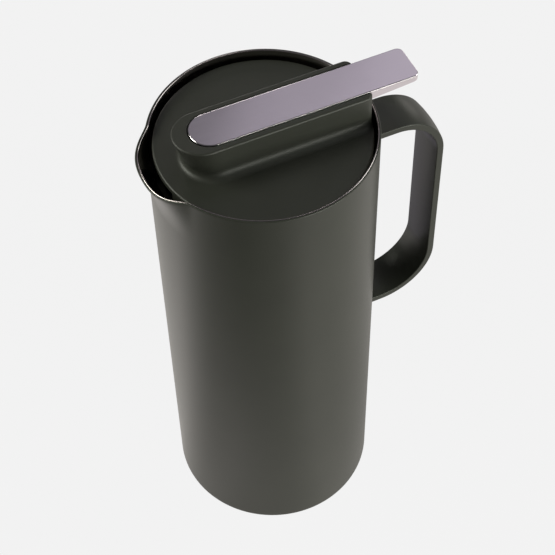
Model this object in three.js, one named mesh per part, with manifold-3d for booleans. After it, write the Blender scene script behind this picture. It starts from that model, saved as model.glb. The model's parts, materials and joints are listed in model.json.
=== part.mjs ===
// Insulated jug: a double-walled steel vessel with a strap handle and a lid whose lever lifts a valve.
// Millimetres, Z up. The origin is the middle of the foot, the handle points to +X and the spout to -X.
import * as THREE from "three";
import { mergeVertices } from "three/addons/utils/BufferGeometryUtils.js";
import Module from "manifold-3d";

const wasm = await Module();
wasm.setup();

// Gaps between pieces
const clearance = 0.3;

// Outer shell and foot
const bodyRadius = 52.5;
const rimHeight = 258;
const shellWall = 0.6;
const footEdge = 3;
const footTurnIn = 5.5;
const padProud = 0.8;
const baseWall = 0.6;

// Vacuum seal and getter
const sealRadius = 4;
const sealHeight = 1.2;
const evacuationHole = 0.9;
const getterRadius = 6;
const getterHeight = 2;
const getterOffset = 24;

// Inner liner and rim
const linerWall = 0.6;
const vacuumGap = 3.7;
const floorGap = 6.5;
const floorRound = 8;
const rimBead = 1;
const seamGap = 0.1;
const mouthDepth = 12;
const shoulderDrop = 3;

// Spout
const spoutReach = 5.8;
const spoutDip = 3;
const spoutHalfAngle = 30.5;
const spoutFullness = 3.2;
const shellCurl = 1.8;
const linerCurl = 1.1;
const spoutFade = 25;

// Handle
const handleWidth = 21.7;
const handleThickness = 3.5;
const handleEdge = 1;
const handleReach = 35.9;
const handleTopDrop = 16.4;
const handleBottomDrop = 145.2;
const handleTopBend = 26;
const handleBottomBend = 29;

// Lid cover
const lidGap = 1.4;
const lidRecess = 4.1;
const lidEdge = 1;
const discThickness = 2.4;
const skirtWall = 2;
const bossRise = 12.8;
const bossHalfWidth = 13.2;
const bossFront = 42.3;
const bossRake = 6;
const bossRearInset = 1;
const bossCorner = 3.5;
const bossDraft = 0.3;
const bossFillet = 4.5;
const bossEdge = 1;
const trayThickness = 2;
const trayGap = 0.8;
const sillWall = 3;
const sillHeight = 4;
const postHeight = 6;
const postRadius = 3.4;
const postCircle = 33;

// Lever and its pins
const leverHalfWidth = 9.75;
const leverFront = 34.4;
const leverOverhang = 20.3;
const leverThickness = 4.8;
const leverTipThickness = 3;
const leverCorner = 3;
const leverEdge = 0.5;
const leverGap = 0.5;
const pivotInset = 12.6;
const pinDrop = 3.8;
const pivotPinRadius = 1.5;
const pivotPinDepth = 2;
const pivotSnap = 2.4;
const earRadius = 3.4;
const earWidth = 2.8;
const linkPinRadius = 1.3;
const linkPlay = 0.7;
const forkWidth = 2.4;
const forkWall = 1.8;

// Plug, gasket and divider
const plugGap = 4.6;
const plugWall = 2;
const plugHeight = 31;
const plugFloor = 2.2;
const flangeGap = 0.8;
const flangeThickness = 1.5;
const gasketHeight = 4.4;
const gasketLip = 1.3;
const dividerThickness = 2.2;
const snapBead = 0.8;
const chamberRadius = 16;
const chamberWall = 1.6;
const channelHalfWidth = 11;
const windowSill = 0.8;

// Valve, stem and spring
const portRadius = 9.5;
const seatWidth = 2;
const seatHeight = 1.2;
const valveOverlap = 3;
const valveHeadThickness = 2.6;
const valveSealThickness = 1.5;
const stemRadius = 2.5;
const stemFootRadius = 6;
const stemFootThickness = 2;
const stemEye = 3;
const eyeWall = 1.2;
const clipWidth = 2.2;
const clipThickness = 0.8;
const guideWall = 1.6;
const guideFlange = 7.4;
const guideHeight = 3.4;
const sealSection = 0.85;
const springRadius = 7.5;
const springWire = 1.2;
const springCurls = 5;

// Screws that hold the divider under the cover
const screwRadius = 1.2;
const screwHeadRadius = 2.8;
const screwHeadHeight = 1.8;
const screwGrip = 4;
const recessHalfLength = 2;
const recessHalfWidth = 0.4;
const recessDepth = 0.9;
const screwCount = 4;

// Facets round a full turn
const wallFacets = 48;
const lidFacets = 40;
const smallFacets = 16;

// Radii that follow from the driving dimensions
const shellInner = bodyRadius - shellWall;
const footOpening = bodyRadius - footTurnIn;
const mouthOuter = shellInner - clearance;
const mouthRadius = mouthOuter - linerWall;
const linerOuter = shellInner - vacuumGap;
const linerInner = linerOuter - linerWall;
const lidRadius = mouthRadius - lidGap;
const bossRear = lidRadius - bossRearInset;
const leverTip = bodyRadius + leverOverhang;
const pivotX = bossRear - pivotInset;
const pocketHalfWidth = leverHalfWidth + leverGap;
const plugRadius = linerInner - plugGap;
const plugInner = plugRadius - plugWall;
const flangeRadius = linerInner - flangeGap;
const dividerRadius = plugInner - clearance;
const valveRadius = portRadius + valveOverlap;
const stemBore = stemRadius + clearance;
const guideRadius = stemBore + guideWall;

// Heights that follow from the driving dimensions
const baseUnder = padProud + shellWall;
const baseTop = baseUnder + baseWall;
const linerUnder = baseTop + floorGap;
const linerFloor = linerUnder + linerWall;
const seam = rimHeight - rimBead;
const shoulderTop = rimHeight - mouthDepth;
const shoulderFoot = shoulderTop - shoulderDrop;
const discTop = rimHeight - lidRecess;
const discUnder = discTop - discThickness;
const bossTop = rimHeight + bossRise;
const leverUnder = bossTop - leverThickness;
const pinHeight = leverUnder - pinDrop;
const trayTop = pinHeight - earRadius - trayGap;
const trayUnder = trayTop - trayThickness;
const sillTop = trayTop + sillHeight;
const dividerTop = discUnder - postHeight;
const dividerUnder = dividerTop - dividerThickness;
const plugUnder = discUnder - plugHeight;
const plugFloorTop = plugUnder + plugFloor;
const gasketUnder = plugUnder + flangeThickness + clearance;
const gasketTop = gasketUnder + gasketHeight;
const upperFlange = gasketTop + clearance;
const upperFlangeTop = upperFlange + flangeThickness;
const seatTop = plugFloorTop + seatHeight;
const valveHeadUnder = seatTop + valveSealThickness;
const valveHeadTop = valveHeadUnder + valveHeadThickness;
const guideTop = dividerTop + guideHeight;

// A height well past the faces that a cutting tool goes through
const past = 5;

const group = new THREE.Group();

// Finishes
const powderCoat = new THREE.MeshStandardMaterial({ color: 0x3f423a, roughness: 0.5, metalness: 0.1 });
const steel = new THREE.MeshStandardMaterial({ color: 0xb9b4b2, roughness: 0.25, metalness: 1 });
const polished = new THREE.MeshStandardMaterial({ color: 0xa79fac, roughness: 0.15, metalness: 1 });
const coverPlastic = new THREE.MeshStandardMaterial({ color: 0x34362f, roughness: 0.55, metalness: 0 });
const innerPlastic = new THREE.MeshStandardMaterial({ color: 0x2b2c2a, roughness: 0.5, metalness: 0 });
const silicone = new THREE.MeshStandardMaterial({ color: 0x6d6f6b, roughness: 0.7, metalness: 0 });
const foam = new THREE.MeshStandardMaterial({ color: 0xd8d4c6, roughness: 0.95, metalness: 0 });
const alloy = new THREE.MeshStandardMaterial({ color: 0x8c8a84, roughness: 0.6, metalness: 0.8 });

function point(x, y) {
  return new THREE.Vector2(x, y);
}

// Points along an arc, angles in degrees
function arc(x, y, radius, from, to, steps) {
  return Array.from({ length: steps + 1 }, (_, step) => {
    const angle = THREE.MathUtils.degToRad(from + ((to - from) * step) / steps);
    return point(x + radius * Math.cos(angle), y + radius * Math.sin(angle));
  });
}

// Points straight up or down a wall of one radius
function wall(radius, from, to, steps) {
  return Array.from({ length: steps + 1 }, (_, step) => point(radius, from + ((to - from) * step) / steps));
}

// A turned form about Z from a profile of radius and height
function turned(profile, facets) {
  const geometry = new THREE.LatheGeometry(profile, facets);
  geometry.rotateX(Math.PI / 2);
  return geometry;
}

// A turned form that is hollow along the axis, so that its profile closes on itself
function turnedRing(profile, facets) {
  return turned([...profile, profile[0]], facets);
}

// A plain upright round bar
function bar(radius, bottom, top, facets) {
  return turned([point(0, bottom), point(radius, bottom), point(radius, top), point(0, top)], facets);
}

// A plain upright ring
function ring(inner, outer, bottom, top, facets) {
  const section = [point(inner, bottom), point(outer, bottom), point(outer, top), point(inner, top)];
  return turnedRing(section, facets);
}

// A round bar along Y
function crossBar(radius, halfLength, x, z) {
  return new THREE.CylinderGeometry(radius, radius, 2 * halfLength, smallFacets).translate(x, 0, z);
}

// A box between two corners
function block(low, high) {
  const size = high.map((value, axis) => value - low[axis]);
  const middle = high.map((value, axis) => (value + low[axis]) / 2);
  return new THREE.BoxGeometry(...size).translate(...middle);
}

// An outline in X and Z, drawn out along Y
function slab(outline, near, far) {
  const options = { depth: far - near, bevelEnabled: false };
  const geometry = new THREE.ExtrudeGeometry(new THREE.Shape(outline), options);
  return geometry.rotateX(Math.PI / 2).translate(0, far, 0);
}

// An outline in X and Y, drawn up along Z
function column(outline, bottom, top) {
  const options = { depth: top - bottom, bevelEnabled: false };
  return new THREE.ExtrudeGeometry(new THREE.Shape(outline), options).translate(0, 0, bottom);
}

// A long outline in X and Y, half round in front and square behind with rounded corners
function paddle(front, rear, halfWidth, corner) {
  return [
    ...arc(rear - corner, corner - halfWidth, corner, -90, 0, 3),
    ...arc(rear - corner, halfWidth - corner, corner, 0, 90, 3),
    ...arc(halfWidth - front, 0, halfWidth, 90, 270, 16),
  ];
}

// A closed skin through outlines of equal point count, stacked from the bottom up
function stack(levels) {
  const count = levels[0].outline.length;
  const vertices = levels.flatMap(({ outline, z }) => outline.flatMap(({ x, y }) => [x, y, z]));
  const corners = [];
  for (let level = 0; level < levels.length - 1; level += 1) {
    for (let k = 0; k < count; k += 1) {
      const a = level * count + k;
      const b = level * count + ((k + 1) % count);
      corners.push(a, b, b + count, a, b + count, a + count);
    }
  }
  const lastLevel = (levels.length - 1) * count;
  THREE.ShapeUtils.triangulateShape(levels[0].outline, []).forEach(([a, b, c]) => corners.push(c, b, a));
  THREE.ShapeUtils.triangulateShape(levels[levels.length - 1].outline, []).forEach((triangle) => {
    corners.push(...triangle.map((corner) => corner + lastLevel));
  });
  const geometry = new THREE.BufferGeometry();
  geometry.setAttribute("position", new THREE.Float32BufferAttribute(vertices, 3));
  geometry.setIndex(corners);
  return geometry;
}

// A solid for joins and cuts, without the collapsed triangles that a turned form has on its axis
function solid(geometry) {
  const bare = geometry.clone();
  bare.deleteAttribute("normal");
  bare.deleteAttribute("uv");
  const merged = mergeVertices(bare, 1e-4);
  const index = merged.index.array;
  const corners = [];
  for (let i = 0; i < index.length; i += 3) {
    const [a, b, c] = [index[i], index[i + 1], index[i + 2]];
    if (a !== b && b !== c && c !== a) {
      corners.push(a, b, c);
    }
  }
  const vertProperties = new Float32Array(merged.attributes.position.array);
  const triVerts = new Uint32Array(corners);
  return new wasm.Manifold(new wasm.Mesh({ numProp: 3, vertProperties, triVerts }));
}

function joined(...geometries) {
  return geometries.map(solid).reduce((whole, next) => whole.add(next));
}

// One named piece of the jug
function piece(name, shape, material) {
  const { vertProperties, triVerts } = shape.getMesh();
  const geometry = new THREE.BufferGeometry();
  geometry.setAttribute("position", new THREE.BufferAttribute(new Float32Array(vertProperties), 3));
  geometry.setIndex(new THREE.BufferAttribute(new Uint32Array(triVerts), 1));
  geometry.computeVertexNormals();
  const mesh = new THREE.Mesh(geometry, material);
  mesh.name = name;
  group.add(mesh);
}

// How far out the spout stands at an angle from its middle, from 0 to 1
function spoutShape(angle) {
  const share = Math.min(Math.abs(angle) / THREE.MathUtils.degToRad(spoutHalfAngle), 1);
  return (1 - share ** spoutFullness) ** 2;
}

// Draws a round wall out and down into the spout, from nothing at fadeStart to its full reach at the rim's seam
function withSpout(geometry, fadeStart, curl) {
  const places = geometry.attributes.position;
  for (let i = 0; i < places.count; i += 1) {
    const x = places.getX(i);
    const y = places.getY(i);
    const z = places.getZ(i);
    const share = THREE.MathUtils.clamp((z - fadeStart) / (seam - fadeStart), 0, 1);
    if (share > 0) {
      const flare = spoutShape(Math.atan2(y, -x)) * share ** curl;
      const growth = 1 + (spoutReach * flare) / Math.hypot(x, y);
      places.setXYZ(i, x * growth, y * growth, z - spoutDip * flare);
    }
  }
  return geometry;
}

function outerShell() {
  const fadeStart = seam - spoutFade;
  const edgeMiddle = bodyRadius - footEdge;
  const profile = [
    point(footOpening, padProud),
    ...arc(edgeMiddle, padProud + footEdge, footEdge, -90, 0, 3),
    ...wall(bodyRadius, fadeStart, seam, 5),
    ...wall(shellInner, seam, fadeStart, 5),
    ...arc(edgeMiddle, padProud + footEdge, footEdge - shellWall, 0, -90, 3),
    point(footOpening, baseUnder),
  ];
  piece("outer_shell", solid(withSpout(turnedRing(profile, wallFacets), fadeStart, shellCurl)), powderCoat);
}

function innerLiner() {
  const beadMiddle = (bodyRadius + mouthRadius) / 2;
  const beadHalf = (bodyRadius - mouthRadius) / 2;
  const beadUnder = seam + seamGap;
  const beadFoot = seam + rimBead / 2;
  const bead = arc(0, 0, 1, 0, 180, 6).map(({ x, y }) => {
    return point(beadMiddle + beadHalf * x, beadFoot + (rimHeight - beadFoot) * y);
  });
  const profile = [
    point(0, linerUnder),
    ...arc(linerOuter - floorRound, linerUnder + floorRound, floorRound, -90, 0, 3),
    point(linerOuter, shoulderFoot),
    ...wall(mouthOuter, shoulderTop, beadUnder, 4),
    point(bodyRadius, beadUnder),
    ...bead,
    ...wall(mouthRadius, seam, shoulderTop, 4),
    point(linerInner, shoulderFoot),
    ...arc(linerOuter - floorRound, linerUnder + floorRound, floorRound - linerWall, 0, -90, 3),
    point(0, linerFloor),
  ];
  piece("inner_liner", solid(withSpout(turned(profile, wallFacets), shoulderTop, linerCurl)), steel);
}

// The disc that closes the vacuum space, with a raised dimple over the evacuation hole
function vacuumBase() {
  const radius = bodyRadius - footEdge - clearance;
  const dimple = sealRadius + clearance;
  const dimpleUnder = baseUnder + sealHeight + clearance;
  const profile = [
    point(evacuationHole, dimpleUnder),
    point(dimple, dimpleUnder),
    point(dimple, baseUnder),
    point(radius, baseUnder),
    point(radius, baseTop),
    point(dimple + baseWall, baseTop),
    point(dimple + baseWall, dimpleUnder + baseWall),
    point(evacuationHole, dimpleUnder + baseWall),
  ];
  piece("vacuum_base", solid(turnedRing(profile, lidFacets)), steel);
}

function vacuumSeal() {
  const dome = arc(0, 0, 1, 0, 90, 3).map(({ x, y }) => point(sealRadius * x, baseUnder + sealHeight * y));
  piece("vacuum_seal", solid(turned([point(0, baseUnder), ...dome], smallFacets)), alloy);
}

function getter() {
  const tablet = bar(getterRadius, baseTop, baseTop + getterHeight, smallFacets);
  piece("getter", solid(tablet.translate(getterOffset, 0, 0)), alloy);
}

function basePad() {
  piece("base_pad", solid(bar(footOpening - clearance, 0, baseUnder, lidFacets)), silicone);
}

// A flat strap bent into a D, its ends shaped to the round wall
function handle() {
  const top = rimHeight - handleTopDrop;
  const bottom = rimHeight - handleBottomDrop;
  const reach = bodyRadius + handleReach;
  const root = bodyRadius - 2 * handleThickness;
  const topMiddle = point(reach - handleTopBend, top - handleTopBend);
  const bottomMiddle = point(reach - handleBottomBend, bottom + handleBottomBend);
  const outline = [
    point(root, bottom),
    ...arc(bottomMiddle.x, bottomMiddle.y, handleBottomBend, -90, 0, 8),
    ...arc(topMiddle.x, topMiddle.y, handleTopBend, 0, 90, 8),
    point(root, top),
    point(root, top - handleThickness),
    ...arc(topMiddle.x, topMiddle.y, handleTopBend - handleThickness, 90, 0, 8),
    ...arc(bottomMiddle.x, bottomMiddle.y, handleBottomBend - handleThickness, 0, -90, 8),
    point(root, bottom + handleThickness),
  ];
  const depth = handleWidth - 2 * handleEdge;
  const strap = new THREE.ExtrudeGeometry(new THREE.Shape(outline), {
    depth,
    bevelThickness: handleEdge,
    bevelSize: handleEdge,
    bevelOffset: -handleEdge,
    bevelSegments: 2,
  });
  strap.rotateX(Math.PI / 2).translate(0, depth / 2, 0);
  const body = bar(bodyRadius + clearance, 0, rimHeight, 2 * wallFacets);
  piece("handle", solid(strap).subtract(solid(body)), powderCoat);
}

// The raised housing on the lid, raked back under its nose, flared at its foot and rounded at its top edge
function bossForm() {
  const sideTop = bossTop - bossEdge;
  const foot = arc(0, 0, bossFillet, -90, -180, 4).map(({ x, y }) => {
    return { out: bossDraft + bossFillet + x, z: discTop + bossFillet + y };
  });
  const edge = arc(0, 0, bossEdge, 0, 90, 3).map(({ x, y }) => ({ out: x - bossEdge, z: sideTop + y }));
  const levels = [{ out: bossDraft + bossFillet, z: discUnder }, ...foot, ...edge];
  const form = stack(
    levels.map(({ out, z }) => {
      const front = bossFront + out - (bossRake * (bossTop - z)) / (bossTop - discTop);
      return { z, outline: paddle(front, bossRear, bossHalfWidth + out, bossCorner) };
    }),
  );
  return solid(form).intersect(solid(bar(bossRear, plugUnder, bossTop + past, lidFacets)));
}

// The places of the screws round the divider
function screwPlaces() {
  return Array.from({ length: screwCount }, (_, k) => {
    const angle = ((2 * k + 1) * Math.PI) / screwCount;
    return point(postCircle * Math.cos(angle), postCircle * Math.sin(angle));
  });
}

function atEachScrew(form) {
  return screwPlaces().map(({ x, y }) => form.clone().translate(x, y, 0));
}

// The slope of the liner's shoulder, on which the lid's skirt sits
function shoulderAt(radius) {
  return shoulderFoot + (shoulderDrop * (radius - linerInner)) / (mouthRadius - linerInner);
}

function lidCover() {
  const seatGap = clearance * Math.hypot(1, shoulderDrop / (mouthRadius - linerInner));
  const skirtFoot = shoulderAt(lidRadius) + seatGap;
  const skirtInner = lidRadius - skirtWall;
  const disc = turned(
    [
      point(0, discUnder),
      point(skirtInner, discUnder),
      point(skirtInner, skirtFoot),
      point(lidRadius, skirtFoot),
      ...arc(lidRadius - lidEdge, discTop - lidEdge, lidEdge, 0, 90, 4),
      point(0, discTop),
    ],
    lidFacets,
  );
  const sillFront = bossRear - sillWall;
  const pocket = paddle(leverFront + leverGap, sillFront, pocketHalfWidth, lidEdge);
  const screwHole = screwRadius + clearance;
  const tools = [
    column(pocket, trayTop, bossTop + past),
    column(pocket, plugUnder, trayUnder),
    block([sillFront - past, -pocketHalfWidth, sillTop], [bossRear + past, pocketHalfWidth, bossTop + past]),
    bar(stemEye * Math.SQRT2 + clearance, trayUnder - past, trayTop + past, smallFacets),
    crossBar(pivotPinRadius + clearance, pocketHalfWidth + pivotPinDepth, pivotX, pinHeight),
    block(
      [-lidRadius - past, -channelHalfWidth, skirtFoot - past],
      [past - skirtInner, channelHalfWidth, discUnder],
    ),
    ...atEachScrew(bar(screwHole, dividerTop - past, dividerTop + screwGrip + clearance, smallFacets)),
  ];
  const posts = atEachScrew(bar(postRadius, dividerTop, discUnder + clearance, smallFacets));
  const cover = joined(disc, ...posts).add(bossForm()).subtract(joined(...tools));
  piece("lid_cover", cover, coverPlastic);
}

// The cup under the cover: a flanged groove for the gasket, the valve's seat and the pouring channel
function lidPlug() {
  const beadMiddle = dividerTop + clearance + snapBead;
  const beadInner = plugInner - snapBead;
  const cup = turnedRing(
    [
      point(portRadius, plugUnder),
      point(flangeRadius, plugUnder),
      point(flangeRadius, gasketUnder - clearance),
      point(plugRadius, gasketUnder - clearance),
      point(plugRadius, upperFlange),
      point(flangeRadius, upperFlange),
      point(flangeRadius, upperFlangeTop),
      point(plugRadius, upperFlangeTop),
      point(plugRadius, discUnder),
      point(plugInner, discUnder),
      point(plugInner, beadMiddle + snapBead),
      point(beadInner, beadMiddle),
      point(plugInner, beadMiddle - snapBead),
      point(plugInner, plugFloorTop),
      point(portRadius + seatWidth, plugFloorTop),
      point(portRadius + seatWidth, seatTop),
      point(portRadius, seatTop),
    ],
    lidFacets,
  );
  const ribFoot = plugFloorTop - plugFloor / 2;
  const ribHalf = channelHalfWidth + chamberWall;
  const ribs = joined(
    bar(chamberRadius + chamberWall, ribFoot, dividerUnder, lidFacets),
    block([-plugRadius, -ribHalf, ribFoot], [0, ribHalf, dividerUnder]),
  ).intersect(solid(bar(plugRadius - plugWall / 2, plugUnder, dividerUnder, lidFacets)));
  const chamber = joined(
    bar(chamberRadius, plugUnder, dividerTop, lidFacets),
    block([-plugRadius, -channelHalfWidth, plugUnder], [0, channelHalfWidth, dividerTop]),
  );
  const window = block(
    [-flangeRadius, -channelHalfWidth, upperFlangeTop + windowSill],
    [-chamberRadius, channelHalfWidth, dividerUnder - windowSill],
  );
  piece("lid_plug", ribs.subtract(chamber).add(solid(cup)).subtract(solid(window)), innerPlastic);
}

function lidGasket() {
  const inner = plugRadius + clearance;
  const outer = linerInner - clearance;
  const neck = outer - gasketLip;
  const middle = (gasketUnder + gasketTop) / 2;
  const profile = [
    point(inner, gasketUnder),
    point(neck, gasketUnder),
    point(outer, (gasketUnder + middle) / 2),
    point(neck, middle),
    point(outer, (gasketTop + middle) / 2),
    point(neck, gasketTop),
    point(inner, gasketTop),
  ];
  piece("lid_gasket", solid(turnedRing(profile, lidFacets)), silicone);
}

// Foam round the pouring channel, open towards the spout
function lidInsulation() {
  const top = dividerUnder - screwHeadHeight - clearance;
  const inner = chamberRadius + chamberWall + clearance;
  const channel = channelHalfWidth + chamberWall + clearance;
  const hollow = joined(
    bar(inner, plugUnder, dividerTop, lidFacets),
    block([-plugRadius, -channel, plugUnder], [0, channel, dividerTop]),
  );
  const filling = solid(bar(plugInner - clearance, plugFloorTop, top, lidFacets)).subtract(hollow);
  piece("lid_insulation", filling, foam);
}

function dividerPlate() {
  const plate = solid(bar(dividerRadius, dividerUnder, dividerTop, lidFacets));
  const holes = joined(
    bar(guideRadius + clearance, dividerUnder - past, dividerTop + past, smallFacets),
    ...atEachScrew(bar(screwRadius + clearance, dividerUnder - past, dividerTop + past, smallFacets)),
  );
  piece("divider_plate", plate.subtract(holes), innerPlastic);
}

function dividerScrews() {
  const headUnder = dividerUnder - screwHeadHeight;
  const screw = joined(
    bar(screwHeadRadius, headUnder, dividerUnder, smallFacets),
    bar(screwRadius, headUnder, dividerTop + screwGrip, smallFacets),
  );
  const slot = block(
    [-recessHalfLength, -recessHalfWidth, headUnder - past],
    [recessHalfLength, recessHalfWidth, headUnder + recessDepth],
  );
  const crossed = slot.clone().rotateZ(Math.PI / 2);
  const screwWithRecess = screw.subtract(joined(slot, crossed));
  screwPlaces().forEach(({ x, y }, k) => {
    piece(`divider_screw_${k + 1}`, screwWithRecess.translate([x, y, 0]), steel);
  });
}

// The bush that guides the stem through the divider, with a pocket for the stem's seal
function stemGuide() {
  const pocket = stemBore + 2 * sealSection + clearance;
  const pocketFloor = guideTop - 2 * sealSection - clearance;
  const profile = [
    point(stemBore, dividerUnder),
    point(guideRadius, dividerUnder),
    point(guideRadius, dividerTop),
    point(guideFlange, dividerTop),
    point(guideFlange, guideTop),
    point(pocket, guideTop),
    point(pocket, pocketFloor),
    point(stemBore, pocketFloor),
  ];
  piece("stem_guide", solid(turnedRing(profile, smallFacets)), innerPlastic);
}

function stemSeal() {
  const middle = stemBore + sealSection;
  const height = guideTop - sealSection - clearance / 2;
  piece("stem_seal", solid(turned(arc(middle, height, sealSection, 0, 360, 8), smallFacets)), silicone);
}

function pivotPin() {
  const halfLength = pocketHalfWidth + pivotPinDepth - clearance;
  piece("pivot_pin", solid(crossBar(pivotPinRadius, halfLength, pivotX, pinHeight)), steel);
}

// The lever: a flat bar flush with the boss, with snap ears on the pivot pin and a slotted fork for the stem
function lever() {
  const shrink = (inset) => {
    return paddle(leverFront - inset, leverTip - inset, leverHalfWidth - inset, leverCorner - inset);
  };
  const edge = arc(0, 0, leverEdge, 0, 90, 3).map(({ x, y }) => {
    return { outline: shrink(leverEdge - x), z: bossTop - leverEdge + y };
  });
  const plate = stack([{ outline: shrink(0), z: leverUnder }, ...edge]);
  const slope = (leverThickness - leverTipThickness) / (leverTip - bossRear);
  const wedge = slab(
    [
      point(bossRear, leverUnder - past),
      point(leverTip + past, leverUnder - past),
      point(leverTip + past, leverUnder + slope * (leverTip + past - bossRear)),
      point(bossRear, leverUnder),
    ],
    -leverHalfWidth - past,
    leverHalfWidth + past,
  );
  const root = leverUnder + leverThickness / 2;
  const earOutline = [
    ...arc(pivotX, pinHeight, earRadius, 180, 360, 10),
    point(pivotX + earRadius, root),
    point(pivotX - earRadius, root),
  ];
  const slotHalf = linkPinRadius + clearance;
  const forkHalf = slotHalf + linkPlay + forkWall;
  const forkFoot = pinHeight - slotHalf - forkWall;
  const forkOutline = [
    point(-forkHalf, forkFoot),
    point(forkHalf, forkFoot),
    point(forkHalf, root),
    point(-forkHalf, root),
  ];
  const forkNear = stemEye + clearance;
  const earFar = leverHalfWidth - clearance;
  const ears = [
    slab(earOutline, earFar - earWidth, earFar),
    slab(earOutline, -earFar, earWidth - earFar),
    slab(forkOutline, forkNear, forkNear + forkWidth),
    slab(forkOutline, -forkNear - forkWidth, -forkNear),
  ];
  const linkSlot = [
    ...arc(linkPlay, pinHeight, slotHalf, -90, 90, 8),
    ...arc(-linkPlay, pinHeight, slotHalf, 90, 270, 8),
  ];
  const snapHalf = pivotSnap / 2;
  const cuts = joined(
    crossBar(pivotPinRadius + clearance, leverHalfWidth, pivotX, pinHeight),
    block([pivotX - snapHalf, -leverHalfWidth, trayTop], [pivotX + snapHalf, leverHalfWidth, pinHeight]),
    slab(linkSlot, -leverHalfWidth, leverHalfWidth),
  );
  const shape = solid(plate).subtract(solid(wedge)).add(joined(...ears)).subtract(cuts);
  piece("lever", shape, polished);
}

function linkPin() {
  const halfLength = stemEye + clearance + forkWidth + clearance;
  piece("link_pin", solid(crossBar(linkPinRadius, halfLength, 0, pinHeight)), steel);
}

function valveStem() {
  const eyeFoot = pinHeight - stemEye;
  const eyeTop = pinHeight + linkPinRadius + clearance + eyeWall;
  const rod = turned(
    [
      point(0, seatTop - stemFootThickness),
      point(stemFootRadius, seatTop - stemFootThickness),
      point(stemFootRadius, seatTop),
      point(stemRadius, seatTop),
      point(stemRadius, pinHeight),
      point(0, pinHeight),
    ],
    smallFacets,
  );
  const eye = block([-stemEye, -stemEye, eyeFoot], [stemEye, stemEye, eyeTop]);
  const hole = crossBar(linkPinRadius + clearance, stemEye + past, 0, pinHeight);
  piece("valve_stem", joined(rod, eye).subtract(solid(hole)), steel);
}

function valveStack() {
  const sealRing = ring(stemBore, portRadius + seatWidth, seatTop, valveHeadUnder, lidFacets);
  piece("valve_seal", solid(sealRing), silicone);
  const head = turnedRing(
    [
      point(stemBore, valveHeadUnder),
      point(valveRadius, valveHeadUnder),
      point(valveRadius, valveHeadTop - lidEdge),
      point(valveRadius - lidEdge, valveHeadTop),
      point(stemBore, valveHeadTop),
    ],
    lidFacets,
  );
  piece("valve_head", solid(head), innerPlastic);
  const clip = ring(stemBore, stemBore + clipWidth, valveHeadTop, valveHeadTop + clipThickness, smallFacets);
  piece("stem_clip", solid(clip), steel);
}

// The middle line of the coil spring between the valve's head and the divider
class Coil extends THREE.Curve {
  getPoint(share, target = new THREE.Vector3()) {
    const angle = 2 * Math.PI * springCurls * share;
    const margin = clearance + springWire / 2;
    const z = THREE.MathUtils.lerp(valveHeadTop + margin, dividerUnder - margin, share);
    return target.set(springRadius * Math.cos(angle), springRadius * Math.sin(angle), z);
  }
}

function valveSpring() {
  const stepsPerCurl = 8;
  const sides = 5;
  const steps = stepsPerCurl * springCurls;
  const coil = new Coil();
  const section = new THREE.Shape(arc(0, 0, springWire / 2, 0, 360, sides).slice(0, sides));
  const tube = new THREE.ExtrudeGeometry(section, { steps, extrudePath: coil });
  piece("valve_spring", solid(tube), steel);
  const places = Array.from({ length: steps + 1 }, (_, k) => coil.getPoint(k / steps));
  const apart = places.flatMap((place, k) => {
    return places.slice(k + stepsPerCurl / 2).map((other) => place.distanceTo(other) - springWire);
  });
  console.log(`least gap between the spring's curls: ${Math.min(...apart).toFixed(2)} mm`);
}

outerShell();
innerLiner();
vacuumBase();
vacuumSeal();
getter();
basePad();
handle();
lidCover();
lidPlug();
lidGasket();
lidInsulation();
dividerPlate();
dividerScrews();
stemGuide();
stemSeal();
pivotPin();
lever();
linkPin();
valveStem();
valveStack();
valveSpring();

export default group;
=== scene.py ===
# Looks of the insulated jug, dressed over its solids.
# Lengths are in metres, Z is up, the handle lies towards +X and the spout towards -X.
import json
import math

import bmesh
import bpy
import numpy as np
from mathutils import Matrix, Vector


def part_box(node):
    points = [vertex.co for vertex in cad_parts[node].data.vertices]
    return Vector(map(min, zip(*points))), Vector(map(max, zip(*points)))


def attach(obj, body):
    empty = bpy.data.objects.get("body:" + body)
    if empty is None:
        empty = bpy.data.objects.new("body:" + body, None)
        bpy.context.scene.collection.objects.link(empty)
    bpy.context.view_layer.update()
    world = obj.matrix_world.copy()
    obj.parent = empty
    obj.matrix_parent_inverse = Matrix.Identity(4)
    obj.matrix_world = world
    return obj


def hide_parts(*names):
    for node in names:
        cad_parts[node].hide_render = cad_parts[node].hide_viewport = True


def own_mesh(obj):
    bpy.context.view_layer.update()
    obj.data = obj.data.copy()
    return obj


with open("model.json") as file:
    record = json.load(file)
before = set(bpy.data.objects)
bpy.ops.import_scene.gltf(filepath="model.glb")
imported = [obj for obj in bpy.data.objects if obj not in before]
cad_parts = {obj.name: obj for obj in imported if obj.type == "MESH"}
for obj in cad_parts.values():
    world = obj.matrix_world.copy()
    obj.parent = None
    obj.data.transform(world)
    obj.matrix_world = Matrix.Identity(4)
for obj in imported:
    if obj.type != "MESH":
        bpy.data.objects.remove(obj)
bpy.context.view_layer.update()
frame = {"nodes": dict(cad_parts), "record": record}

# Boxes of the solids that the sizes below come from
shell_low, shell_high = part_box("outer_shell")
liner_low, liner_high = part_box("inner_liner")
handle_low, handle_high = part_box("handle")
lever_low, lever_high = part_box("lever")
plug_low, plug_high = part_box("lid_plug")
gasket_low, gasket_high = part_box("lid_gasket")
spring_low, spring_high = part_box("valve_spring")
divider_low, divider_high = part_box("divider_plate")
pin_low, pin_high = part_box("pivot_pin")
screw_low, screw_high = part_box("divider_screw_1")
cover_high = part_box("lid_cover")[1]
pad_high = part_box("base_pad")[1]

# Gap between pieces, and a length well past the faces that a cutting tool goes through
clearance = 0.0003
past = 0.005

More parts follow.
